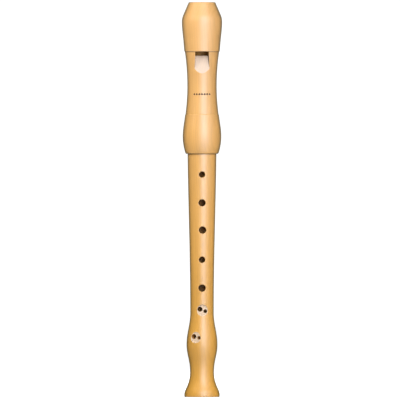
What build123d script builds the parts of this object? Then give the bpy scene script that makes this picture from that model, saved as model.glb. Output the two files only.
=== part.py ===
from build123d import *

import os
from math import cos, radians, sin, tan

# Soprano recorder in two wooden joints: a head with a cedar block, and a body whose foot is turned
# from the same piece, joined by a cork-lapped tenon. Millimetres. +Z runs up the bore, the origin is
# the centre of the foot's end face, and the finger holes face -Y.

# ---- Driving dimensions --------------------------------------------------------------------------

OVERALL_LENGTH = 325.0
SHOULDER_Z = 200.15  # where the body's outline stops and its tenon starts
HEAD_RIM_GAP = 0.05  # seated head rim to body shoulder
WINDOW_TOP_Z = 284.4  # windway exit, level with the turned step round the head
LIP_Z = 280.9  # labium edge: the height below the windway exit is the cut-up
WINDOW_WIDTH = 11.3

# Outline of the body and foot, as (radius, height) from the foot's end upwards.
FOOT_RIM = (14.6, 1.4)
FOOT_ROLL = (12.56, 8.2)
FOOT_COVE = (10.4, 14.8)
FOOT_WAIST = (9.85, 22.0)
FOOT_BULGE = (12.7, 43.0)
BODY_NECK = (9.62, 69.5)
BODY_MIDDLE = (10.36, 128.5)
BODY_SHOULDER = (11.85, SHOULDER_Z)
FOOT_EDGE_ROUND = 0.5

# Outline of the head, as (radius, height) from the socket's rim upwards.
HEAD_RIM = (13.3, SHOULDER_Z + HEAD_RIM_GAP)
HEAD_FLANK = (14.7, 204.6)
HEAD_BULGE = (15.85, 214.5)
HEAD_SLOPE = (14.72, 226.2)
QUIRK_LOWER = (13.9, 232.1)  # fine turned step where the bulge begins
QUIRK_UPPER = (13.56, 232.8)
HEAD_THROAT = (12.68, 241.0)
HEAD_WAIST = (12.03, 256.0)
STEP_LOWER = (14.08, WINDOW_TOP_Z)
STEP_UPPER = (14.5, WINDOW_TOP_Z)
CAP_FLANK = (15.45, 295.0)
CAP_MAX = (16.54, 309.0)
CAP_ROLL_R = 14.0  # radius of the roll from the cap into the beak's cone
BEAK_CONE_DEG = 23.3  # slope of the beak's cone, measured from the axis
BEAK_EDGE_ROUND = 0.8
RIM_ROUND = 1.0
STEP_ROUND = 0.35

# Bores.
HEAD_BORE_R = 6.7
SOCKET_R = 9.3
SOCKET_DEPTH = 20.6
BODY_BORE_TOP_R = 6.4
BODY_BORE_CHOKE = (4.75, 58.0)  # narrowest radius, and where the taper reaches it
FOOT_BORE_R = 5.5
FOOT_BORE_DEPTH = 23.0
FOOT_BORE_TAPER = 4.0
BORE_CHAMFER = 0.5

# Tenon and its cork.
TENON_R = 8.9
TENON_LENGTH = 19.85
CORK_GROOVE_R = 8.1
CORK_GROOVE_START = 1.8  # height above the shoulder
CORK_GROOVE_LENGTH = 14.0
CORK_R = 9.25
CORK_SIDE_GAP = 0.05
CORK_BED_GAP = 0.02
CORK_EDGE_ROUND = 0.4

# Windway, labium and block. Depths are distances in front of the axis.
WINDWAY_ROOF_EXIT = 7.4
WINDWAY_ROOF_ENTRY = 8.0
WINDWAY_FLOOR = 6.4
WINDWAY_CHAMFER = 0.5
LIP_TOP = 6.9
LIP_UNDERSIDE = 6.6
LIP_FACET_LENGTH = 1.8
LIP_FACET_DEG = 27.0
RAMP_DEG = 19.2
RAMP_SIDE_FLARE_DEG = 4.0
RAMP_WALL_DEG = 10.0  # lean of the ramp's side walls, which open outwards
RAMP_MOUTH = 13.5  # distance in front of the axis where those walls are as wide as the window
UNDERCUT_Z = 266.0
UNDERCUT_FADE = 8.0
BLOCK_CLEARANCE = 0.04

# Curved cut across the back of the beak, as (distance behind the axis, height).
BEAK_CUT_HEEL = (18.5, 295.4)
BEAK_CUT_MIDDLE = (6.2, 309.0)
BEAK_CUT_TIP = (1.8, 326.0)

# Single finger holes from the top down, as (distance across, height, diameter).
FINGER_HOLES = [
    (0.0, 183.1, 5.1),
    (0.0, 159.8, 5.9),
    (0.4, 137.4, 5.95),
    (0.0, 113.0, 5.2),
    (0.0, 89.6, 5.95),
]
THUMB_HOLE = (0.0, 191.0, 5.5)
HOLE_RIM_ROUND = 0.3

# Double holes. Each pair sits in a round dish, as (turn from the front, height, floor's distance out,
# distance of the pair across from the dish's middle, turn of the pair within the dish).
DISHES = [
    (2.3, 71.35, 8.35, 0.1, 0.0),
    (-26.0, 49.2, 11.35, 0.35, 8.0),
]
DISH_R = 4.8
DISH_CORNER = 0.9
HOLE_PAIR = [
    (-2.1, 0.95, 4.1),  # distance across, distance up, diameter
    (2.3, -0.75, 3.1),
]

# Row of lozenges engraved round the head's waist.
LOZENGE_COUNT = 7
LOZENGE_PITCH_DEG = 10.4
LOZENGE_WIDTH = 2.0
LOZENGE_HEIGHT = 1.9
LOZENGE_Z = 249.2
LOZENGE_FLOOR_R = 11.99

# Sizes for cutting shapes only.
CUT_REACH = 20.0  # farther out than any radius
CUT_OVERRUN = 1.0  # how far a cut runs past the face it leaves by

# ---- Sizes that follow from the driving dimensions -----------------------------------------------

TENON_TOP_Z = SHOULDER_Z + TENON_LENGTH
CORK_GROOVE_LOW_Z = SHOULDER_Z + CORK_GROOVE_START
CORK_GROOVE_HIGH_Z = CORK_GROOVE_LOW_Z + CORK_GROOVE_LENGTH
CAP_ROLL_END = (
    CAP_MAX[0] - CAP_ROLL_R * (1 - cos(radians(BEAK_CONE_DEG))),
    CAP_MAX[1] + CAP_ROLL_R * sin(radians(BEAK_CONE_DEG)),
)
BEAK_TIP = (
    CAP_ROLL_END[0] - (OVERALL_LENGTH - CAP_ROLL_END[1]) * tan(radians(BEAK_CONE_DEG)),
    OVERALL_LENGTH,
)
FACET_END = (LIP_TOP + LIP_FACET_LENGTH * tan(radians(LIP_FACET_DEG)), LIP_Z - LIP_FACET_LENGTH)
RAMP_END_Z = FACET_END[1] - (CUT_REACH - FACET_END[0]) / tan(radians(RAMP_DEG))


def front_plane(turn_deg, height, distance):
    """Plane facing out of the instrument, turned from the front, with +X across it and +Y up it."""
    outward = Vector(sin(radians(turn_deg)), -cos(radians(turn_deg)), 0)
    across = Vector(cos(radians(turn_deg)), sin(radians(turn_deg)), 0)
    return Plane(origin=outward * distance + Vector(0, 0, height), x_dir=across, z_dir=outward)


def corner(sketch, point):
    """The vertex of a sketch nearest this point."""
    return sketch.vertices().sort_by_distance(point)[0]


def hole_rim(part, plane, diameter):
    """The edge round a drilled hole's mouth: the loop of its diameter nearest the plane it starts from."""
    loops = part.edges().filter_by(lambda edge: abs(edge.bounding_box().size.Z - diameter) < 0.2)
    return loops.sort_by_distance(plane.origin)[0]


def turned_swell(start, end):
    """Turned curve between two extremes of an outline, parallel to the axis at both ends."""
    return Spline(start, end, tangents=((0, 1), (0, 1)))


os.makedirs("parts", exist_ok=True)

# ---- Cutting shapes ------------------------------------------------------------------------------

with BuildPart() as beak_cut:
    # Everything behind the curved cut that gives the beak its thin tip.
    with BuildSketch(Plane.YZ):
        with BuildLine():
            ThreePointArc(BEAK_CUT_HEEL, BEAK_CUT_MIDDLE, BEAK_CUT_TIP)
            Polyline(BEAK_CUT_TIP, (BEAK_CUT_HEEL[0], BEAK_CUT_TIP[1]), BEAK_CUT_HEEL)
        make_face()
    extrude(amount=CUT_REACH, both=True)

with BuildPart() as window_walls:
    # Below the lip the side walls spread towards the ramp's foot, and lean outwards.
    for height in (LIP_Z, RAMP_END_Z):
        spread = (WINDOW_TOP_Z - height) * tan(radians(RAMP_SIDE_FLARE_DEG))
        inner_half = WINDOW_WIDTH / 2 + spread - RAMP_MOUTH * tan(radians(RAMP_WALL_DEG))
        outer_half = inner_half + CUT_REACH * tan(radians(RAMP_WALL_DEG))
        with BuildSketch(Plane.XY.offset(height)):
            with BuildLine():
                Polyline(
                    (-inner_half, 0),
                    (inner_half, 0),
                    (outer_half, -CUT_REACH),
                    (-outer_half, -CUT_REACH),
                    close=True,
                )
            make_face()
    loft(ruled=True)
    # Beside the window itself they are straight, and as far apart as the windway's walls.
    with BuildSketch(Plane.XZ):
        with Locations((0, LIP_Z)):
            Rectangle(WINDOW_WIDTH, WINDOW_TOP_Z - LIP_Z, align=(Align.CENTER, Align.MIN))
    extrude(amount=CUT_REACH)

with BuildPart() as window_cut:
    # From the side: the window, the small facet below the lip, and the long ramp.
    with BuildSketch(Plane.YZ):
        with BuildLine():
            Polyline(
                (0, WINDOW_TOP_Z),
                (-CUT_REACH, WINDOW_TOP_Z),
                (-CUT_REACH, RAMP_END_Z),
                (-FACET_END[0], FACET_END[1]),
                (-LIP_TOP, LIP_Z),
                (0, LIP_Z),
                close=True,
            )
        make_face()
    extrude(amount=CUT_REACH, both=True)
    add(window_walls.part, mode=Mode.INTERSECT)

with BuildPart() as dish_cut:
    # Round cutter with a rounded nose. The nose's flat is at local height 0.
    with BuildSketch(Plane.XY):
        Circle(DISH_R)
    extrude(amount=CUT_REACH)
    fillet(dish_cut.edges().group_by(Axis.Z)[0], radius=DISH_CORNER)

# ---- Head joint ----------------------------------------------------------------------------------

with BuildPart() as head_blank:
    # The turned head before it is bored, with its beak shaped. The block is shaped together with it.
    with BuildSketch(Plane.XZ) as head_outline:
        with BuildLine():
            Line((0, HEAD_RIM[1]), HEAD_RIM)
            Spline(HEAD_RIM, HEAD_FLANK, HEAD_BULGE, tangents=((0.5, 1), (0, 1)))
            Spline(HEAD_BULGE, HEAD_SLOPE, QUIRK_LOWER, tangents=((0, 1), (-0.12, 1)))
            Line(QUIRK_LOWER, QUIRK_UPPER)
            Spline(QUIRK_UPPER, HEAD_THROAT, HEAD_WAIST, tangents=((-0.12, 1), (0, 1)))
            Bezier(HEAD_WAIST, (HEAD_WAIST[0], (HEAD_WAIST[1] + WINDOW_TOP_Z) / 2), STEP_LOWER)
            Line(STEP_LOWER, STEP_UPPER)
            Spline(STEP_UPPER, CAP_FLANK, CAP_MAX, tangents=((0.09, 1), (0, 1)))
            TangentArc(CAP_MAX, CAP_ROLL_END, tangent=(0, 1))
            Polyline(CAP_ROLL_END, BEAK_TIP, (0, OVERALL_LENGTH), (0, HEAD_RIM[1]))
        make_face()
        fillet(corner(head_outline, HEAD_RIM), radius=RIM_ROUND)
        fillet(corner(head_outline, STEP_UPPER), radius=STEP_ROUND)
        fillet(corner(head_outline, BEAK_TIP), radius=BEAK_EDGE_ROUND)
    revolve(axis=Axis.Z)
    add(beak_cut.part, mode=Mode.SUBTRACT)
    cut_face = head_blank.faces().filter_by(GeomType.CYLINDER).sort_by(Axis.Y)[-1]
    fillet(cut_face.edges(), radius=BEAK_EDGE_ROUND)

with BuildPart() as head_joint:
    add(head_blank.part)
    with Locations(Plane(origin=(0, 0, HEAD_RIM[1]), z_dir=(0, 0, -1))):
        CounterBoreHole(HEAD_BORE_R, SOCKET_R, SOCKET_DEPTH)
    mouth_edges = head_joint.edges().group_by(Axis.Z)[0].filter_by(GeomType.CIRCLE)
    chamfer(mouth_edges.sort_by(SortBy.RADIUS)[0], length=BORE_CHAMFER)
    # Windway groove from the beak's tip to the window, with a chamfer where its roof ends.
    with BuildSketch(Plane.YZ):
        with BuildLine():
            Polyline(
                (0, WINDOW_TOP_Z),
                (-WINDWAY_ROOF_EXIT - WINDWAY_CHAMFER, WINDOW_TOP_Z),
                (-WINDWAY_ROOF_EXIT, WINDOW_TOP_Z + WINDWAY_CHAMFER),
                (-WINDWAY_ROOF_ENTRY, OVERALL_LENGTH + CUT_OVERRUN),
                (0, OVERALL_LENGTH + CUT_OVERRUN),
                close=True,
            )
        make_face()
    extrude(amount=WINDOW_WIDTH / 2, both=True, mode=Mode.SUBTRACT)
    # Flat underside of the labium, fading back into the round bore.
    with BuildSketch(Plane.YZ):
        with BuildLine():
            Polyline(
                (0, WINDOW_TOP_Z),
                (-LIP_UNDERSIDE, WINDOW_TOP_Z),
                (-LIP_UNDERSIDE, UNDERCUT_Z),
                (0, UNDERCUT_Z - UNDERCUT_FADE),
                close=True,
            )
        make_face()
    extrude(amount=WINDOW_WIDTH / 2, both=True, mode=Mode.SUBTRACT)
    add(window_cut.part, mode=Mode.SUBTRACT)
    # Row of lozenges, engraved square to the surface.
    for index in range(LOZENGE_COUNT):
        turn = (index - (LOZENGE_COUNT - 1) / 2) * LOZENGE_PITCH_DEG
        with BuildSketch(front_plane(turn, LOZENGE_Z, LOZENGE_FLOOR_R)):
            with BuildLine():
                Polyline(
                    (-LOZENGE_WIDTH / 2, 0),
                    (0, -LOZENGE_HEIGHT / 2),
                    (LOZENGE_WIDTH / 2, 0),
                    (0, LOZENGE_HEIGHT / 2),
                    close=True,
                )
            make_face()
        extrude(amount=CUT_OVERRUN, mode=Mode.SUBTRACT)

head_joint.part.label = "head_joint"
export_step(head_joint.part, "parts/head_joint.step")

# ---- Block ---------------------------------------------------------------------------------------

with BuildPart() as block:
    # A round plug with a ridge that fills the windway groove, cut flat to make the windway's floor.
    with BuildSketch(Plane.XY.offset(WINDOW_TOP_Z)):
        Circle(HEAD_BORE_R - BLOCK_CLEARANCE)
        with Locations((0, -WINDWAY_FLOOR)):
            Rectangle(
                WINDOW_WIDTH - 2 * BLOCK_CLEARANCE, WINDWAY_FLOOR, align=(Align.CENTER, Align.MIN)
            )
            Rectangle(
                2 * CUT_REACH, CUT_REACH, align=(Align.CENTER, Align.MAX), mode=Mode.SUBTRACT
            )
    extrude(amount=OVERALL_LENGTH - WINDOW_TOP_Z)
    exit_edge = block.edges().group_by(Axis.Z)[0].filter_by(Axis.X).sort_by(Axis.Y)[0]
    chamfer(exit_edge, length=WINDWAY_CHAMFER)
    add(head_blank.part, mode=Mode.INTERSECT)

block.part.label = "block"
export_step(block.part, "parts/block.step")

# ---- Body joint ----------------------------------------------------------------------------------

with BuildPart() as body_joint:
    with BuildSketch(Plane.XZ):
        with BuildLine():
            Polyline((0, 0), (FOOT_RIM[0], 0), FOOT_RIM)
            Spline(FOOT_RIM, FOOT_ROLL, FOOT_COVE, FOOT_WAIST, tangents=((0, 1), (0, 1)))
            turned_swell(FOOT_WAIST, FOOT_BULGE)
            turned_swell(FOOT_BULGE, BODY_NECK)
            Spline(BODY_NECK, BODY_MIDDLE, BODY_SHOULDER, tangents=((0, 1), (0.012, 1)))
            Polyline(
                BODY_SHOULDER,
                (TENON_R, SHOULDER_Z),
                (TENON_R, CORK_GROOVE_LOW_Z),
                (CORK_GROOVE_R, CORK_GROOVE_LOW_Z),
                (CORK_GROOVE_R, CORK_GROOVE_HIGH_Z),
                (TENON_R, CORK_GROOVE_HIGH_Z),
                (TENON_R, TENON_TOP_Z),
                (0, TENON_TOP_Z),
                (0, 0),
            )
        make_face()
    revolve(axis=Axis.Z)
    fillet(body_joint.edges().group_by(Axis.Z)[0], radius=FOOT_EDGE_ROUND)
    chamfer(body_joint.edges().group_by(Axis.Z)[-1], length=BORE_CHAMFER)
    # Bore: it narrows to a choke below the double holes, and opens again in the foot.
    with BuildSketch(Plane.XZ):
        with BuildLine():
            Polyline(
                (0, 0),
                (FOOT_BORE_R + BORE_CHAMFER, 0),
                (FOOT_BORE_R, BORE_CHAMFER),
                (FOOT_BORE_R, FOOT_BORE_DEPTH),
                (BODY_BORE_CHOKE[0], FOOT_BORE_DEPTH + FOOT_BORE_TAPER),
                BODY_BORE_CHOKE,
                (BODY_BORE_TOP_R, TENON_TOP_Z),
                (0, TENON_TOP_Z),
                close=True,
            )
        make_face()
    revolve(axis=Axis.Z, mode=Mode.SUBTRACT)
    # Dishes, and the pair of holes drilled through the floor of each.
    for turn, height, floor_distance, pair_shift, pair_turn in DISHES:
        dish_floor = front_plane(turn, height, floor_distance)
        with Locations(dish_floor):
            add(dish_cut.part, mode=Mode.SUBTRACT)
        for across, up, diameter in HOLE_PAIR:
            with Locations(dish_floor * Pos(pair_shift, 0, 0) * Rot(0, 0, pair_turn) * Pos(across, up, 0)):
                Hole(diameter / 2, depth=floor_distance)
    # Single holes, each with its mouth rounded.
    single_holes = [(0, *hole) for hole in FINGER_HOLES] + [(180, *THUMB_HOLE)]
    for turn, across, height, diameter in single_holes:
        drill_plane = front_plane(turn, height, CUT_REACH)
        with Locations(drill_plane * Pos(across, 0, 0)):
            Hole(diameter / 2, depth=CUT_REACH)
        fillet(hole_rim(body_joint, drill_plane, diameter), radius=HOLE_RIM_ROUND)

body_joint.part.label = "body_joint"
export_step(body_joint.part, "parts/body_joint.step")

# ---- Tenon cork ----------------------------------------------------------------------------------

with BuildPart() as tenon_cork:
    with BuildSketch(Plane.XY.offset(CORK_GROOVE_LOW_Z + CORK_SIDE_GAP)):
        Circle(CORK_R)
        Circle(CORK_GROOVE_R + CORK_BED_GAP, mode=Mode.SUBTRACT)
    extrude(amount=CORK_GROOVE_LENGTH - 2 * CORK_SIDE_GAP)
    outer_edges = tenon_cork.edges().filter_by(GeomType.CIRCLE).group_by(SortBy.RADIUS)[-1]
    fillet(outer_edges, radius=CORK_EDGE_ROUND)

tenon_cork.part.label = "tenon_cork"
export_step(tenon_cork.part, "parts/tenon_cork.step")
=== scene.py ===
import math
from collections import defaultdict

import bmesh
import bpy
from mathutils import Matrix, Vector, noise
from mathutils.bvhtree import BVHTree


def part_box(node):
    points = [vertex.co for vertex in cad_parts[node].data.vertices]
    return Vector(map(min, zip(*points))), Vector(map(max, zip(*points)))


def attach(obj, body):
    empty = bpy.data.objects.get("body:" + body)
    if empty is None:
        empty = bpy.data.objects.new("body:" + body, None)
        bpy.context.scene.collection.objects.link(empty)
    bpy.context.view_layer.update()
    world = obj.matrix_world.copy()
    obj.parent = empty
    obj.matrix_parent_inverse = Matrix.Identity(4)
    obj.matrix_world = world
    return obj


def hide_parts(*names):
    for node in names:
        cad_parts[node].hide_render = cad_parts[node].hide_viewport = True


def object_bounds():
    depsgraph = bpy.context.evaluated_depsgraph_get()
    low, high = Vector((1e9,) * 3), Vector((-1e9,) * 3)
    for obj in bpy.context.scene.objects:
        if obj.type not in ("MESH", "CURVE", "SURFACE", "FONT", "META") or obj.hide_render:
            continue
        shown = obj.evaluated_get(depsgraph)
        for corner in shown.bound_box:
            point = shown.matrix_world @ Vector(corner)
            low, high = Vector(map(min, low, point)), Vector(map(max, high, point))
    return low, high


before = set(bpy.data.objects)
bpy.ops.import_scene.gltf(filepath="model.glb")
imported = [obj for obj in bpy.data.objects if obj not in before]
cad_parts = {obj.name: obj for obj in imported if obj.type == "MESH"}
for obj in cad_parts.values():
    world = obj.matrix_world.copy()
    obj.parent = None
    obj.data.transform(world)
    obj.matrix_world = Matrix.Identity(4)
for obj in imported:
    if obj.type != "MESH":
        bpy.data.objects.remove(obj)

# The looks of a wooden soprano recorder. Metres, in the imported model's frame: +Z up the bore, the
# finger holes face -Y. The three wooden nodes keep their CAD shape and get procedural finishes, and
# the tenon's cork is rebuilt as a granular sleeve.

MM = 0.001
CAD_LOW, CAD_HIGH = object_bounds()

# ---- Measures read from the frame ----------------------------------------------------------------

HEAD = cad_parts["head_joint"]
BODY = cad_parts["body_joint"]
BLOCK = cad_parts["block"]
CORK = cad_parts["tenon_cork"]

HEAD_LOW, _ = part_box("head_joint")
BODY_LOW, BODY_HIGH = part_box("body_joint")
BLOCK_LOW, BLOCK_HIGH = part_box("block")
CORK_LOW, CORK_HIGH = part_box("tenon_cork")

LENGTH = CAD_HIGH.z - CAD_LOW.z
WINDOW_TOP = BLOCK_LOW.z
BORE_R = BLOCK_HIGH.x
SOCKET_R = CORK_HIGH.x

SAME_DIRECTION = 0.9999  # least product of two unit normals that count as one flat face
OUTLINE_SAMPLES = 220
BESIDE = 1.0  # where rays towards the axis start, well outside the object


def cad_faces(node):
    """The CAD faces of a node: its mesh shares no vertices between them, so each is one island."""
    mesh = node.data
    parent = list(range(len(mesh.vertices)))

    def find(index):
        while parent[index] != index:
            parent[index] = parent[parent[index]]
            index = parent[index]
        return index

    for polygon in mesh.polygons:
        first = find(polygon.vertices[0])
        for other in polygon.vertices[1:]:
            parent[find(other)] = first
    groups = defaultdict(list)
    for polygon in mesh.polygons:
        groups[find(polygon.vertices[0])].append(polygon)
    return list(groups.values())


def flat_face(node, faces, wanted_normal, wanted_place):
    """(centre, normal) of the largest flat CAD face whose normal and place pass the two tests."""
    best_area, best = 0.0, None
    for polygons in faces:
        normal = polygons[0].normal
        if not wanted_normal(normal) or any(p.normal.dot(normal) < SAME_DIRECTION for p in polygons):
            continue
        points = [node.data.vertices[i].co for p in polygons for i in p.vertices]
        low = Vector(min(p[k] for p in points) for k in range(3))
        high = Vector(max(p[k] for p in points) for k in range(3))
        area = sum(p.area for p in polygons)
        if wanted_place((low + high) / 2) and area > best_area:
            best_area, best = area, ((low + high) / 2, normal.copy())
    return best


def node_range(node):
    """Lowest and highest point of a node."""
    heights = [v.co.z for v in node.data.vertices]
    return min(heights), max(heights)


def outline(node):
    """Outer radius of a turned node at even heights, read along its right side, which has no holes."""
    tree = BVHTree.FromPolygons([v.co for v in node.data.vertices], [p.vertices for p in node.data.polygons])
    low, high = node_range(node)
    radii = []
    for index in range(OUTLINE_SAMPLES):
        height = low + (high - low) * (index + 0.5) / OUTLINE_SAMPLES
        hit = tree.ray_cast(Vector((BESIDE, 0.0, height)), Vector((-1.0, 0.0, 0.0)))[0]
        radii.append(hit.x)
    return radii


# ---- Node trees ----------------------------------------------------------------------------------


class Shader:
    """A material's node tree, with short calls that add a node and join it up."""

    def __init__(self, name):
        self.material = bpy.data.materials.new(name)
        self.material.use_nodes = True
        self.tree = self.material.node_tree
        self.tree.nodes.clear()
        self.output = self.tree.nodes.new("ShaderNodeOutputMaterial")
        coordinates = self.node("ShaderNodeTexCoord")
        self.place = coordinates.outputs["Object"]
        self.x, self.y, self.z = self.split(self.place)
        self.normal_x, _, self.normal_z = self.split(coordinates.outputs["Normal"])

    def node(self, kind, **settings):
        made = self.tree.nodes.new(kind)
        for name, value in settings.items():
            setattr(made, name, value)
        return made

    def feed(self, socket, value):
        if isinstance(value, bpy.types.NodeSocket):
            self.tree.links.new(value, socket)
        else:
            socket.default_value = value

    def math(self, operation, *values, clamp=False):
        made = self.node("ShaderNodeMath", operation=operation, use_clamp=clamp)
        for socket, value in zip(made.inputs, values):
            self.feed(socket, value)
        return made.outputs[0]

    def vector(self, operation, *values):
        made = self.node("ShaderNodeVectorMath", operation=operation)
        for socket, value in zip(made.inputs, values):
            self.feed(socket, value)
        return made.outputs["Value" if operation in ("DOT_PRODUCT", "LENGTH", "DISTANCE") else "Vector"]

    def split(self, vector):
        made = self.node("ShaderNodeSeparateXYZ")
        self.feed(made.inputs[0], vector)
        return made.outputs

    def join(self, x, y, z):
        made = self.node("ShaderNodeCombineXYZ")
        for socket, value in zip(made.inputs, (x, y, z)):
            self.feed(socket, value)
        return made.outputs[0]

    def noise(self, vector, scale, detail=3.0, roughness=0.5):
        made = self.node("ShaderNodeTexNoise")
        self.feed(made.inputs["Vector"], vector)
        self.feed(made.inputs["Scale"], scale)
        self.feed(made.inputs["Detail"], detail)
        self.feed(made.inputs["Roughness"], roughness)
        return made.outputs["Fac"]

    def grain(self, cells_per_metre, detail, roughness=0.5):
        """Noise with its own number of cells per metre along X, Y and Z."""
        return self.noise(self.vector("MULTIPLY", self.place, cells_per_metre), 1.0, detail, roughness)

    def step(self, value, low, high, out_low=0.0, out_high=1.0):
        """A smooth change from out_low to out_high as value goes from low to high."""
        made = self.node("ShaderNodeMapRange", interpolation_type="SMOOTHSTEP")
        limits = {"From Min": low, "From Max": high, "To Min": out_low, "To Max": out_high}
        for name, number in limits.items():
            self.feed(made.inputs[name], number)
        self.feed(made.inputs["Value"], value)
        return made.outputs[0]

    def over(self, value, edge, fade):
        """0 where value is below edge, rising to 1 at edge + fade."""
        return self.step(value, edge, edge + fade)

    def under(self, value, edge, fade):
        """1 where value is below edge, falling to 0 at edge + fade."""
        return self.step(value, edge + fade, edge)

    def vary(self, value, field, amount):
        """value, moved up and down by a noise field."""
        return self.math("MULTIPLY_ADD", self.math("SUBTRACT", field, 0.5), amount, value)

    def mix(self, factor, a, b, blend="MIX"):
        made = self.node("ShaderNodeMix", data_type="RGBA", blend_type=blend)
        self.feed(made.inputs["Factor"], factor)
        self.feed(made.inputs["A"], a)
        self.feed(made.inputs["B"], b)
        return made.outputs["Result"]

    def shade(self, colour, brightness):
        """A colour times a brightness."""
        return self.mix(1.0, colour, self.join(brightness, brightness, brightness), "MULTIPLY")

    def overlap(self, *masks):
        """1 where every mask is 1."""
        product = masks[0]
        for mask in masks[1:]:
            product = self.math("MULTIPLY", product, mask)
        return product

    def either(self, *masks):
        """1 where any mask is 1."""
        largest = masks[0]
        for mask in masks[1:]:
            largest = self.math("MAXIMUM", largest, mask)
        return largest

    def curve(self, value, heights):
        """value from 0 to 1 looked up in evenly spaced heights, each from 0 to 1."""
        made = self.node("ShaderNodeFloatCurve")
        points = made.mapping.curves[0].points
        last = len(heights) - 1
        for index, height in enumerate(heights):
            if index in (0, last):
                point = points[0 if index == 0 else len(points) - 1]
                point.location = (index / last, height)
            else:
                point = points.new(index / last, height)
            point.handle_type = "VECTOR"
        made.mapping.update()
        self.feed(made.inputs["Value"], value)
        return made.outputs[0]

    def finish(self, colour, roughness, height, bump_distance, coat=0.0, coat_roughness=0.2):
        """Joins the colour, roughness and relief to the surface and returns the material."""
        bump = self.node("ShaderNodeBump")
        self.feed(bump.inputs["Height"], height)
        self.feed(bump.inputs["Distance"], bump_distance)
        self.feed(bump.inputs["Strength"], 1.0)
        surface = self.node("ShaderNodeBsdfPrincipled")
        self.feed(surface.inputs["Base Color"], colour)
        self.feed(surface.inputs["Roughness"], roughness)
        self.feed(surface.inputs["Normal"], bump.outputs[0])
        self.feed(surface.inputs["Coat Weight"], coat)
        self.feed(surface.inputs["Coat Roughness"], coat_roughness)
        self.feed(surface.inputs["Coat IOR"], LACQUER_IOR)
        self.tree.links.new(surface.outputs[0], self.output.inputs["Surface"])
        return self.material


# ---- Wood ----------------------------------------------------------------------------------------

# Growth of the log. Scales are noise cells per metre across the grain, twice, and along it.
PITH = Vector((-0.055, 0.038, 0.0))  # where the log's centre lay beside the turned piece
RING_SPACING = 1.7 * MM
RING_WANDER = 4.0  # ring widths that a ring may stray from a true circle
WANDER_SCALE = (30, 30, 9)
FIBRE_SCALE = (2600, 2600, 70)
STREAK_SCALE = (420, 420, 12)
PORE_SCALE = (5200, 5200, 420)
CLOUD_SCALE = (34, 34, 16)
LATE_START, LATE_END = 0.35, 0.93  # where, across a ring, the wood starts to darken and is darkest
STREAK_STRENGTH = 1.6  # contrast of the broad streaks against the fine fibres
PORE_EDGE, PORE_FADE = 0.66, 0.08  # noise value at which a pore opens
FIBRE_RELIEF = 0.35  # height of a fibre against the depth of a pore

# Finish of the turned wood.
RING_CONTRAST = 0.055
FIBRE_CONTRAST = 0.10
PORE_CONTRAST = 0.10
CLOUD_CONTRAST = 0.16
BARE_CONTRAST = 0.7  # share of the figure that shows on bare cut wood
GRAIN_DEPTH = 0.02 * MM
LACQUER_IOR = 1.6
LACQUER_ROUGHNESS = 0.34
WOOD_ROUGHNESS = 0.35
CLOUD_ROUGHNESS = 0.10
WEAR_ROUGHNESS = 0.08
BARE_ROUGHNESS = 0.28
MARK_ROUGHNESS = 0.4
END_ROUGHNESS = 0.12

WOOD_TOP = (0.623, 0.345, 0.120, 1)
WOOD_FOOT = (0.642, 0.323, 0.050, 1)
RAMP_WOOD = (0.55, 0.425, 0.325, 1)
DISH_WOOD = (0.61, 0.450, 0.305, 1)
BORE_WOOD = (0.56, 0.29, 0.075, 1)  # the head's bore and socket, seen through the window
HOLE_WOOD = (0.42, 0.19, 0.035, 1)  # the body's holes and bore
# the colour of painted shade in hollows and corners, and of painted shadow below steps
SHADE_BROWN = (0.085, 0.036, 0.010, 1)
# the marks' colour, also used for the painted shadow on the ramp's right wall
MARK_AND_SHADOW_BROWN = (0.055, 0.022, 0.010, 1)
WORN_WOOD = (0.78, 0.52, 0.23, 1)
END_GRAIN = (0.40, 0.19, 0.045, 1)
EDGE_SHADE_TINT = (0.45, 0.60, 0.80, 1)  # painted shade: multiplies the wood's colour where it turns away from the eye
EDGE_SHADE_START, EDGE_SHADE_FADE = 0.38, 0.54  # 0 faces the eye and 1 is edge-on

WEAR_RADIUS = 0.5 * MM
WEAR_STRENGTH = 0.35
WEAR_EDGE, WEAR_FADE = 0.90, 0.095  # agreement of the rounded and the true normal on an edge
# Painted shade in holes and corners, by how much open sky a point sees.
SHELTER_REACH = 1.2 * MM
SHELTER_EDGE, SHELTER_FADE = 0.15, 0.60  # share of open sky
SHADE_STRENGTH = 0.75
SHADE_LESS_DEEP = 0.60  # taken off that strength inside holes and bores, which are brown already
END_START, END_FADE = 0.80, 0.17  # size of the normal's Z part where end grain shows
END_STRENGTH = 0.45
END_LACQUER_LOSS = 0.7
# A painted shadow on the wood just below a step in the outline, broken into patches.
CORNER_SHADOW_HEIGHT = 1.0 * MM
CORNER_SHADOW_STRENGTH = 0.55
CORNER_SHADOW_CELLS = 180.0  # per metre
CORNER_SHADOW_LEAST = 0.6  # the painted shadow in its faintest patches against its darkest


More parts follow.
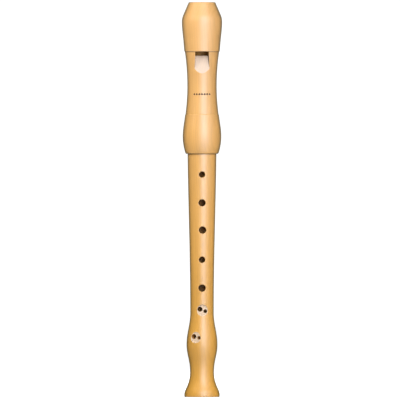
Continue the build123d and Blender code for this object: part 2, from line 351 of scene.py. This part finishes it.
def wood_figure(shader, ring_contrast, fibre_contrast, pore_contrast):
    """(tint, relief) of wood cut from one side of a log, with its fibres along Z."""
    wander = shader.grain(WANDER_SCALE, detail=2.0)
    from_pith = shader.vector("SUBTRACT", shader.join(shader.x, shader.y, 0.0), PITH)
    rings = shader.math("DIVIDE", shader.vector("LENGTH", from_pith), RING_SPACING)
    rings = shader.math("ADD", rings, shader.math("MULTIPLY", wander, RING_WANDER))
    across_ring = shader.math("FRACT", rings)
    late = shader.overlap(
        shader.step(across_ring, LATE_START, LATE_END),
        shader.step(across_ring, LATE_END, 1.0, 1.0, 0.0),
    )
    fibre = shader.grain(FIBRE_SCALE, detail=3.0, roughness=0.6)
    streak = shader.grain(STREAK_SCALE, detail=3.0, roughness=0.55)
    pores = shader.over(shader.grain(PORE_SCALE, detail=1.0), PORE_EDGE, PORE_FADE)
    tint = shader.math("MULTIPLY_ADD", late, -ring_contrast, 1.0)
    tint = shader.vary(tint, fibre, fibre_contrast)
    tint = shader.vary(tint, streak, fibre_contrast * STREAK_STRENGTH)
    tint = shader.math("MULTIPLY_ADD", pores, -pore_contrast, tint)
    relief = shader.math("MULTIPLY_ADD", pores, -1.0, shader.math("MULTIPLY", fibre, FIBRE_RELIEF))
    return tint, relief


def edge_wear(shader):
    """1 on convex and concave edges, 0 on open surface."""
    bevel = shader.node("ShaderNodeBevel", samples=4)
    shader.feed(bevel.inputs["Radius"], WEAR_RADIUS)
    plain = shader.node("ShaderNodeNewGeometry").outputs["Normal"]
    agreement = shader.vector("DOT_PRODUCT", bevel.outputs[0], plain)
    return shader.under(agreement, WEAR_EDGE, WEAR_FADE)


def shelter(shader, distance):
    """0 in the open and 1 deep in a hole or a corner."""
    occlusion = shader.node("ShaderNodeAmbientOcclusion", samples=4, only_local=True)
    shader.feed(occlusion.inputs["Distance"], distance)
    return shader.under(occlusion.outputs["AO"], SHELTER_EDGE, SHELTER_FADE)


def depth_below_outline(shader, node):
    """(how far a point lies inside the turned outline of its node, its distance from the axis)."""
    low, high = node_range(node)
    radii = outline(node)
    widest = max(radii)
    share = shader.math("DIVIDE", shader.math("SUBTRACT", shader.z, low), high - low)
    turned = shader.math("MULTIPLY", shader.curve(share, [r / widest for r in radii]), widest)
    radius = shader.vector("LENGTH", shader.join(shader.x, shader.y, 0.0))
    return shader.math("SUBTRACT", turned, radius), radius


def painted_corner_shadow(shader, corner_height, depth):
    """Painted shadow on the outer wood just below corner_height, where the outline steps out over it, in
    patches.
    """
    patches = shader.noise(shader.place, CORNER_SHADOW_CELLS)
    band = shader.overlap(
        shader.over(shader.z, corner_height - CORNER_SHADOW_HEIGHT, fade=0.8 * CORNER_SHADOW_HEIGHT),
        shader.under(shader.z, corner_height - 0.05 * MM, fade=0.1 * MM),
        shader.under(depth, 0.7 * MM, fade=0.2 * MM),
        shader.step(patches, 0.2, 0.6, CORNER_SHADOW_LEAST, 1.0),
    )
    return shader.math("MULTIPLY", band, CORNER_SHADOW_STRENGTH)


def lacquered_wood(name, node, raw_wood, deep_wood, raw_mask, deep_mask, corner_height, dark_mask=None):
    """Honey-coloured satin wood.

    raw_mask shows bare pale raw_wood, deep_mask brown deep_wood and dark_mask the marks' dark brown and
    painted shadow.
    Painted shadow darkens the wood just below corner_height, and painted shade its holes and corners.
    """
    shader = Shader(name)
    depth, radius = depth_below_outline(shader, node)
    tint, relief = wood_figure(shader, RING_CONTRAST, FIBRE_CONTRAST, PORE_CONTRAST)
    cloud = shader.grain(CLOUD_SCALE, detail=2.0)

    colour = shader.mix(shader.step(shader.z, CAD_LOW.z, CAD_HIGH.z), WOOD_FOOT, WOOD_TOP)
    colour = shader.shade(colour, tint)
    colour = shader.shade(colour, shader.vary(1.0, cloud, CLOUD_CONTRAST))
    end_grain = shader.over(shader.math("ABSOLUTE", shader.normal_z), END_START, END_FADE)
    colour = shader.mix(shader.math("MULTIPLY", end_grain, END_STRENGTH), colour, END_GRAIN)
    # Painted shade: the wood darkens and cools towards its outline, where it turns away from the eye.
    facing = shader.node("ShaderNodeLayerWeight").outputs["Facing"]
    edge_shade = shader.over(facing, EDGE_SHADE_START, EDGE_SHADE_FADE)
    colour = shader.mix(edge_shade, colour, shader.mix(1.0, colour, EDGE_SHADE_TINT, "MULTIPLY"))
    wear = edge_wear(shader)
    colour = shader.mix(shader.math("MULTIPLY", wear, WEAR_STRENGTH), colour, WORN_WOOD)

    raw = raw_mask(shader, depth, radius)
    deep = deep_mask(shader, depth, radius)
    raw_tint = shader.math("MULTIPLY_ADD", shader.math("SUBTRACT", tint, 1.0), BARE_CONTRAST, 1.0)
    colour = shader.mix(raw, colour, shader.shade(raw_wood, raw_tint))
    colour = shader.mix(deep, colour, deep_wood)
    bare = shader.either(raw, deep)

    roughness = shader.math("MULTIPLY_ADD", cloud, CLOUD_ROUGHNESS, WOOD_ROUGHNESS)
    roughness = shader.math("MULTIPLY_ADD", wear, WEAR_ROUGHNESS, roughness)
    roughness = shader.math("MULTIPLY_ADD", bare, BARE_ROUGHNESS, roughness)
    if dark_mask:
        dark = dark_mask(shader, depth, radius)
        # The marks' dark brown, and painted shadow where dark_mask asks for it.
        colour = shader.mix(dark, colour, MARK_AND_SHADOW_BROWN)
        bare = shader.either(bare, dark)
        roughness = shader.math("MULTIPLY_ADD", dark, MARK_ROUGHNESS, roughness, clamp=True)
    roughness = shader.math("MULTIPLY_ADD", end_grain, END_ROUGHNESS, roughness, clamp=True)

    # Painted shade in holes, corners and recesses, and a painted shadow just below corner_height.
    painted_shade_strength = shader.math("MULTIPLY_ADD", deep, -SHADE_LESS_DEEP, SHADE_STRENGTH)
    painted_shade = shader.math("MULTIPLY", shelter(shader, SHELTER_REACH), painted_shade_strength)
    corner_shadow = painted_corner_shadow(shader, corner_height, depth)
    colour = shader.mix(shader.either(painted_shade, corner_shadow), colour, SHADE_BROWN)

    no_lacquer = shader.either(bare, shader.math("MULTIPLY", end_grain, END_LACQUER_LOSS))
    coat = shader.math("SUBTRACT", 1.0, no_lacquer)
    return shader.finish(colour, roughness, relief, GRAIN_DEPTH, coat, LACQUER_ROUGHNESS)


def front_half(shader):
    """The half of the object that faces -Y."""
    return shader.under(shader.y, -1.0 * MM, fade=1.0 * MM)


# ---- Head ----------------------------------------------------------------------------------------

RAMP_CENTRE, RAMP_NORMAL = flat_face(
    HEAD,
    cad_faces(HEAD),
    wanted_normal=lambda n: n.y < -0.8 and n.z > 0.2,
    wanted_place=lambda c: c.z < WINDOW_TOP,
)
ON_FLOOR = 0.01 * MM  # how far from the ramp's plane a vertex may lie and still belong to its floor
ramp_points = [
    v.co
    for v in HEAD.data.vertices
    if abs((v.co - RAMP_CENTRE).dot(RAMP_NORMAL)) < ON_FLOOR and v.co.z < WINDOW_TOP and v.co.y < 0
]
RAMP_FOOT = min(p.z for p in ramp_points)
RAMP_HALF = max(p.x for p in ramp_points)

RAMP_CUT = 0.04 * MM  # depth below the outline where cut wood begins
LOZENGE_CUT = 0.05 * MM
LOZENGE_BELOW_RAMP = 12 * MM  # the row lies at least this far below the ramp
LOZENGE_OVER_CORK = 15 * MM  # and this far above the cork
LOZENGE_WALL = 2 * MM  # least wood between the row and the bore
SOCKET_OVER_CORK = 5 * MM  # the socket ends less than this far above the cork
# strength of the painted shadow on the ramp's right wall
RAMP_WALL_SHADOW = 0.75


def head_raw(shader, depth, radius):
    """The window's walls and the ramp: cut below the outline, in front, outside the bore."""
    sideways = shader.math("ABSOLUTE", shader.x)
    return shader.overlap(
        shader.over(depth, RAMP_CUT, fade=0.10 * MM),
        front_half(shader),
        shader.under(sideways, RAMP_HALF + 0.3 * MM, fade=0.2 * MM),
        shader.over(shader.z, RAMP_FOOT - 1.0 * MM, fade=0.5 * MM),
        shader.under(shader.z, WINDOW_TOP, fade=0.02 * MM),
        shader.over(radius, BORE_R - 0.25 * MM, fade=0.25 * MM),
        shader.over(shader.normal_z, -0.9, fade=0.2),
    )


def head_deep(shader, depth, radius):
    """The walls of the bore and of the socket, darkened by oil and handling."""
    bore = shader.under(radius, BORE_R + 0.07 * MM, fade=0.05 * MM)
    socket = shader.overlap(
        shader.under(radius, SOCKET_R + 0.10 * MM, fade=0.05 * MM),
        shader.under(shader.z, CORK_HIGH.z + SOCKET_OVER_CORK - 0.1 * MM, fade=0.1 * MM),
        shader.over(shader.z, HEAD_LOW.z + 0.3 * MM, fade=0.3 * MM),
    )
    return shader.either(bore, socket)


def head_dark(shader, depth, radius):
    """The engraved row of lozenges round the waist, and a painted shadow on the ramp's right wall, darker
    than its floor.
    """
    lozenges = shader.overlap(
        shader.over(depth, LOZENGE_CUT, fade=0.04 * MM),
        front_half(shader),
        shader.under(shader.z, RAMP_FOOT - LOZENGE_BELOW_RAMP - 1.0 * MM, fade=1.0 * MM),
        shader.over(radius, BORE_R + LOZENGE_WALL, fade=0.2 * MM),
        shader.over(shader.z, CORK_HIGH.z + LOZENGE_OVER_CORK, fade=1.0 * MM),
    )
    # Painted shadow on the ramp's right wall.
    right_wall_shadow = shader.overlap(
        head_raw(shader, depth, radius),
        shader.under(shader.normal_x, -0.8, fade=0.2),
        shader.over(shader.x, 0.0, fade=1.0 * MM),
    )
    return shader.either(lozenges, shader.math("MULTIPLY", right_wall_shadow, RAMP_WALL_SHADOW))


HEAD.data.materials[0] = lacquered_wood(
    "head_wood", HEAD, RAMP_WOOD, BORE_WOOD, head_raw, head_deep, WINDOW_TOP, head_dark
)

# ---- Body ----------------------------------------------------------------------------------------

LOWER_DISH_TOP = 60 * MM  # a height between the two dishes
UPPER_DISH_TOP = 95 * MM  # and one above them both
DISH_R = 4.85 * MM
DISH_CUT = 0.03 * MM  # depth below the outline where a dish's cut wood begins
HOLE_CUT = 0.25 * MM  # and where a hole's wall counts as deep

body_faces = cad_faces(BODY)


def dish_floor(height_low, height_high):
    """(centre, normal) of the flat floor of the double-hole dish between two heights."""
    return flat_face(
        BODY,
        body_faces,
        wanted_normal=lambda n: n.y < -0.6 and abs(n.z) < 0.01,
        wanted_place=lambda c: height_low < c.z < height_high,
    )


DISHES = [dish_floor(BODY_LOW.z, LOWER_DISH_TOP), dish_floor(LOWER_DISH_TOP, UPPER_DISH_TOP)]


def open_dish(shader, centre, normal):
    """The space of one dish, from its floor outwards."""
    offset = shader.vector("SUBTRACT", shader.place, centre)
    along = shader.vector("DOT_PRODUCT", offset, normal)
    across = shader.vector("LENGTH", shader.vector("CROSS_PRODUCT", offset, normal))
    below_floor = shader.under(along, -0.40 * MM, fade=0.30 * MM)
    return shader.overlap(
        shader.under(across, DISH_R, fade=0.05 * MM),
        shader.over(along, -SOCKET_R, fade=1.0 * MM),
        shader.math("SUBTRACT", 1.0, below_floor),
    )


def body_raw(shader, depth, radius):
    """The dishes of the double holes, down to their floors."""
    cut = shader.over(depth, DISH_CUT, fade=0.09 * MM)
    lower, upper = [open_dish(shader, centre, normal) for centre, normal in DISHES]
    return shader.overlap(cut, shader.either(lower, upper))


def body_deep(shader, depth, radius):
    """Hole walls and bore: inside the outline, but not in a dish above its floor."""
    return shader.overlap(
        shader.over(depth, HOLE_CUT, fade=0.45 * MM),
        shader.over(shader.z, BODY_LOW.z + 0.4 * MM, fade=0.4 * MM),
        shader.under(shader.z, BODY_HIGH.z - 0.3 * MM, fade=0.2 * MM),
        shader.math("SUBTRACT", 1.0, body_raw(shader, depth, radius)),
    )


BODY.data.materials[0] = lacquered_wood(
    "body_wood", BODY, DISH_WOOD, HOLE_WOOD, body_raw, body_deep, HEAD_LOW.z
)

# ---- Block ---------------------------------------------------------------------------------------

CEDAR_EARLY = (0.47, 0.225, 0.105, 1)
CEDAR_LATE = (0.33, 0.135, 0.058, 1)
CEDAR_LINE_SPACING = 0.75 * MM
CEDAR_WANDER_SCALE = (200, 200, 12)
CEDAR_WANDER = 1.2  # line spacings that a grain line may stray from straight
CEDAR_FIBRE_CONTRAST = 0.16
CEDAR_PORE_CONTRAST = 0.06
CEDAR_ROUGHNESS = 0.66
CEDAR_LINE_ROUGHNESS = -0.08
CEDAR_GRAIN_DEPTH = 0.03 * MM
# reach and strength of painted shade in the block's hollows and corners
CEDAR_SHELTER_REACH = 2 * MM
CEDAR_SHADE_STRENGTH = 0.5


def cedar(name):
    """Raw reddish cedar, straight and close in the grain."""
    shader = Shader(name)
    tint, relief = wood_figure(shader, 0.0, CEDAR_FIBRE_CONTRAST, CEDAR_PORE_CONTRAST)
    wander = shader.grain(CEDAR_WANDER_SCALE, detail=2.0)
    lines = shader.math("DIVIDE", shader.x, CEDAR_LINE_SPACING)
    lines = shader.math("MULTIPLY_ADD", wander, CEDAR_WANDER, lines)
    late = shader.over(shader.math("PINGPONG", lines, 0.5), 0.30, fade=0.20)
    colour = shader.shade(shader.mix(late, CEDAR_EARLY, CEDAR_LATE), tint)
    # Painted shade in the block's hollows and corners.
    painted_shade = shader.math("MULTIPLY", shelter(shader, CEDAR_SHELTER_REACH), CEDAR_SHADE_STRENGTH)
    colour = shader.mix(painted_shade, colour, SHADE_BROWN)
    roughness = shader.math("MULTIPLY_ADD", late, CEDAR_LINE_ROUGHNESS, CEDAR_ROUGHNESS)
    return shader.finish(colour, roughness, relief, CEDAR_GRAIN_DEPTH)


BLOCK.data.materials[0] = cedar("block_cedar")

# ---- Tenon cork ----------------------------------------------------------------------------------

CORK_AROUND = 288
CORK_UP = 56
CORK_EDGE_RINGS = 4
CORK_ROUND = 0.4 * MM  # radius of the sleeve's two outer edges
SEAM_WIDTH = 0.22 * MM
SEAM_DEPTH = 0.16 * MM
SEAM_LEAN = math.radians(16)  # turn of the scarf seam from the cork's lower to its upper edge
PIT_DEPTH = 0.11 * MM
CRUMBS_PER_MM = 1.1
CRUMB_GAP = 0.16  # width of the joints between crumbs, as a share of a crumb
CRUMB_GAP_DEPTH = 0.45  # depth of those joints, as a share of the deepest pit
PITS_PER_MM = 0.8
PIT_EDGE = 0.25  # noise value at which a pit opens
PIT_SLOPE = 1.6

CORK_DARK_CRUMB = (0.47, 0.265, 0.125, 1)
CORK_PALE_CRUMB = (0.66, 0.43, 0.235, 1)
CORK_JOINT = (0.23, 0.105, 0.045, 1)
CORK_FLECK = (0.13, 0.055, 0.025, 1)
CORK_CELLS = 1100.0  # per metre, as are the next two
CORK_FLECK_CELLS = 700.0
CORK_FINE_CELLS = 5200.0
CORK_JOINT_STRENGTH = 0.6  # of the joints' colour
CORK_JOINT_RELIEF = 0.6  # depth of the joints against the height of the fine grain
CORK_FINE_CONTRAST = 0.3
CORK_ROUGHNESS = 0.72
CORK_FINE_ROUGHNESS = 0.15
CORK_RELIEF_DEPTH = 0.05 * MM


def cork_pit(angle, height):
    """Depth of the cork's surface below its full radius: crumbs, pits and the scarf seam."""
    spot = Vector((math.cos(angle) * SOCKET_R, math.sin(angle) * SOCKET_R, height)) / MM
    nearest, second = noise.voronoi(spot * CRUMBS_PER_MM)[0][:2]
    gap = max(0.0, CRUMB_GAP - (second - nearest)) / CRUMB_GAP
    pit = max(0.0, noise.noise(spot * PITS_PER_MM) - PIT_EDGE) * PIT_SLOPE
    share = (height - CORK_LOW.z) / (CORK_HIGH.z - CORK_LOW.z)
    seam_angle = math.pi / 2 + SEAM_LEAN * (share - 0.5)
    seam = max(0.0, 1 - abs(angle - seam_angle) * SOCKET_R / SEAM_WIDTH)
    return min(PIT_DEPTH * (CRUMB_GAP_DEPTH * gap + pit), PIT_DEPTH) + SEAM_DEPTH * seam


def cork_rings(inner_r, outer_r):
    """(radius, height) of the sleeve's rings, up its outside and back down its inside."""
    rings = []
    for index in range(CORK_EDGE_RINGS):
        turn = math.pi / 2 * index / CORK_EDGE_RINGS
        radius = outer_r - CORK_ROUND * (1 - math.sin(turn))
        rings.append((radius, CORK_LOW.z + CORK_ROUND * (1 - math.cos(turn))))
    straight = CORK_HIGH.z - CORK_LOW.z - 2 * CORK_ROUND
    for index in range(CORK_UP + 1):
        rings.append((outer_r, CORK_LOW.z + CORK_ROUND + straight * index / CORK_UP))
    for radius, height in reversed(rings[:CORK_EDGE_RINGS]):
        rings.append((radius, CORK_HIGH.z - (height - CORK_LOW.z)))
    return rings + [(inner_r, CORK_HIGH.z), (inner_r, CORK_LOW.z)]


def cork_sleeve():
    """A closed ring: a granular outside with rounded edges, and a plain inside against the tenon."""
    inner_r = min(Vector(v.co.xy).length for v in CORK.data.vertices)
    built = bmesh.new()
    loops = []
    for radius, height in cork_rings(inner_r, SOCKET_R):
        loop = []
        for index in range(CORK_AROUND):
            angle = 2 * math.pi * index / CORK_AROUND
            reach = radius if radius == inner_r else radius - cork_pit(angle, height)
            loop.append(built.verts.new((math.cos(angle) * reach, math.sin(angle) * reach, height)))
        loops.append(loop)
    for index, loop in enumerate(loops):
        following = loops[(index + 1) % len(loops)]
        for k in range(CORK_AROUND):
            after = (k + 1) % CORK_AROUND
            built.faces.new((loop[k], loop[after], following[after], following[k]))
    mesh = bpy.data.meshes.new("tenon_cork_sleeve")
    built.to_mesh(mesh)
    built.free()
    mesh.shade_smooth()
    piece = bpy.data.objects.new("tenon_cork_sleeve", mesh)
    bpy.context.scene.collection.objects.link(piece)
    return piece


def cork_cells(shader, **settings):
    """A Voronoi texture at the size of the cork's crumbs."""
    cells = shader.node("ShaderNodeTexVoronoi", **settings)
    shader.feed(cells.inputs["Vector"], shader.place)
    shader.feed(cells.inputs["Scale"], CORK_CELLS)
    return cells.outputs


def cork_material(name):
    """Pressed cork: pale crumbs with brown joints and dark flecks."""
    shader = Shader(name)
    crumb = shader.split(cork_cells(shader)["Color"])[0]
    to_joint = cork_cells(shader, feature="DISTANCE_TO_EDGE")["Distance"]
    joint = shader.under(to_joint, 0.0, fade=0.10)
    colour = shader.mix(crumb, CORK_DARK_CRUMB, CORK_PALE_CRUMB)
    colour = shader.mix(shader.math("MULTIPLY", joint, CORK_JOINT_STRENGTH), colour, CORK_JOINT)
    fleck = shader.over(shader.noise(shader.place, CORK_FLECK_CELLS, roughness=0.6), 0.60, fade=0.08)
    colour = shader.mix(fleck, colour, CORK_FLECK)
    fine = shader.noise(shader.place, CORK_FINE_CELLS, detail=2.0)
    colour = shader.shade(colour, shader.vary(1.0, fine, CORK_FINE_CONTRAST))
    relief = shader.math("MULTIPLY_ADD", joint, -CORK_JOINT_RELIEF, fine)
    roughness = shader.math("MULTIPLY_ADD", fine, CORK_FINE_ROUGHNESS, CORK_ROUGHNESS)
    return shader.finish(colour, roughness, relief, CORK_RELIEF_DEPTH)


cork = cork_sleeve()
cork.data.materials.append(cork_material("cork"))
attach(cork, "cork_sleeve")
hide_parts("tenon_cork")

# ---- Floor and surround --------------------------------------------------------------------------

FLOOR_REACH = 20 * LENGTH
FLOOR_SIDES = 96
FLOOR_DROP = 0.05 * MM
FLOOR_GREY = (0.45, 0.45, 0.45, 1)
BACKDROP = 1.1  # strength of the surround as the camera sees it
AMBIENT = 0.05  # as it lights the object
AMBIENT_MIRRORED = 0.02  # and as the lacquer mirrors it


def white_floor():
    """A plain white floor under the foot. The lacquer doesn't mirror it and it blocks no light."""
    built = bmesh.new()
    bmesh.ops.create_circle(built, cap_ends=True, radius=FLOOR_REACH, segments=FLOOR_SIDES)
    mesh = bpy.data.meshes.new("floor")
    built.to_mesh(mesh)
    built.free()
    floor = bpy.data.objects.new("floor", mesh)
    floor.location.z = CAD_LOW.z - FLOOR_DROP
    bpy.context.scene.collection.objects.link(floor)
    shader = Shader("floor_white")
    diffuse = shader.node("ShaderNodeBsdfDiffuse")
    shader.feed(diffuse.inputs["Color"], FLOOR_GREY)
    glow = shader.node("ShaderNodeEmission")
    shader.feed(glow.inputs["Strength"], shader.node("ShaderNodeLightPath").outputs["Is Camera Ray"])
    total = shader.node("ShaderNodeAddShader")
    shader.tree.links.new(diffuse.outputs[0], total.inputs[0])
    shader.tree.links.new(glow.outputs[0], total.inputs[1])
    shader.tree.links.new(total.outputs[0], shader.output.inputs["Surface"])
    mesh.materials.append(shader.material)
    floor.visible_glossy = False
    floor.visible_shadow = False


def studio_world():
    """White behind the object for the camera, and a dim even surround for everything else."""
    world = bpy.data.worlds.new("studio")
    bpy.context.scene.world = world
    world.use_nodes = True
    tree = world.node_tree
    background = tree.nodes["Background"]
    path = tree.nodes.new("ShaderNodeLightPath")
    unseen = tree.nodes.new("ShaderNodeMapRange")
    unseen.inputs["To Min"].default_value = AMBIENT
    unseen.inputs["To Max"].default_value = AMBIENT_MIRRORED
    tree.links.new(path.outputs["Is Glossy Ray"], unseen.inputs["Value"])
    strength = tree.nodes.new("ShaderNodeMapRange")
    strength.inputs["To Max"].default_value = BACKDROP
    tree.links.new(unseen.outputs[0], strength.inputs["To Min"])
    tree.links.new(path.outputs["Is Camera Ray"], strength.inputs["Value"])
    tree.links.new(strength.outputs[0], background.inputs["Strength"])
    background.inputs["Color"].default_value = (1, 1, 1, 1)


white_floor()
studio_world()

# ---- Lights --------------------------------------------------------------------------------------

AIM_HEIGHT = 0.16  # the middle of the object
PLAIN_WHITE = (1, 1, 1)
SHEEN_COLOUR = (0.50, 0.80, 1.20)  # daylight blue, which reads as pink over honey-coloured wood


def softbox(
    name, turn, distance, height, size, power, aim=AIM_HEIGHT, mirrored=True, lit=True, colour=PLAIN_WHITE
):
    """A light panel of a (width, height) size in metres and a power in watts, aimed at the axis.

    It is turned to the right from the front by turn degrees. A panel that isn't mirrored lights the
    wood but leaves no reflection in its lacquer, and one that isn't lit only leaves a reflection. The
    camera sees no panel, so one may hang behind the object.
    """
    data = bpy.data.lights.new(name, "AREA")
    data.shape = "RECTANGLE"
    data.size, data.size_y = size
    data.energy = power
    data.color = colour
    lamp = bpy.data.objects.new(name, data)
    angle = math.radians(turn)
    lamp.location = (math.sin(angle) * distance, -math.cos(angle) * distance, height)
    towards = Vector((0, 0, aim)) - lamp.location
    lamp.rotation_euler = towards.to_track_quat("-Z", "Y").to_euler()
    lamp.visible_glossy = mirrored
    lamp.visible_diffuse = lit
    lamp.visible_camera = False
    bpy.context.scene.collection.objects.link(lamp)


softbox("key", 13, 1.3, 0.60, size=(0.66, 1.9), power=12.0, mirrored=False)
softbox("key_sheen", 13, 1.3, 0.60, size=(0.66, 1.9), power=19.0, lit=False, colour=SHEEN_COLOUR)
softbox("front", 10, 1.3, 0.5, size=(0.6, 0.8), power=7.3, mirrored=False)
softbox("high_right", 34, 1.3, 1.3, size=(0.2, 0.6), power=5.1, mirrored=False)
softbox("near_left", -60, 0.45, 0.55, size=(0.3, 0.4), power=2.8, aim=0.30, mirrored=False)
softbox("right", 60, 1.0, 0.5, size=(0.4, 0.8), power=3.2, mirrored=False)
softbox("sheen", 13, 1.3, 0.2, size=(0.9, 1.9), power=9.0, lit=False, colour=SHEEN_COLOUR)
softbox("side_sheen", 45, 1.3, 0.2, size=(1.0, 1.9), power=3.2, lit=False)
softbox("back", 180, 1.5, 0.9, size=(0.4, 1.2), power=20.0, mirrored=False)

# ---- Camera --------------------------------------------------------------------------------------

CENTRE = (CAD_LOW + CAD_HIGH) / 2
PICTURE_SHARE = 0.9867  # the object's height as a share of the picture's
PICTURE_SIZE = LENGTH / PICTURE_SHARE
CAMERA_DISTANCE = 36 * LENGTH  # far off: rings and ends show no curve
SIDE_SHIFT = 0.005  # the object stands this share of the picture's width right of the middle
RISE = 0.0010  # and this share of its height above the middle

camera_data = bpy.data.cameras.new("camera")
camera_data.lens = camera_data.sensor_width * CAMERA_DISTANCE / PICTURE_SIZE
camera_data.clip_start, camera_data.clip_end = 0.1, 100.0
camera = bpy.data.objects.new("camera", camera_data)
camera.location = (-SIDE_SHIFT * PICTURE_SIZE, -CAMERA_DISTANCE, CENTRE.z - RISE * PICTURE_SIZE)
camera.rotation_euler = (math.pi / 2, 0, 0)
bpy.context.scene.collection.objects.link(camera)
bpy.context.scene.camera = camera
bpy.context.scene.view_settings.view_transform = "Standard"
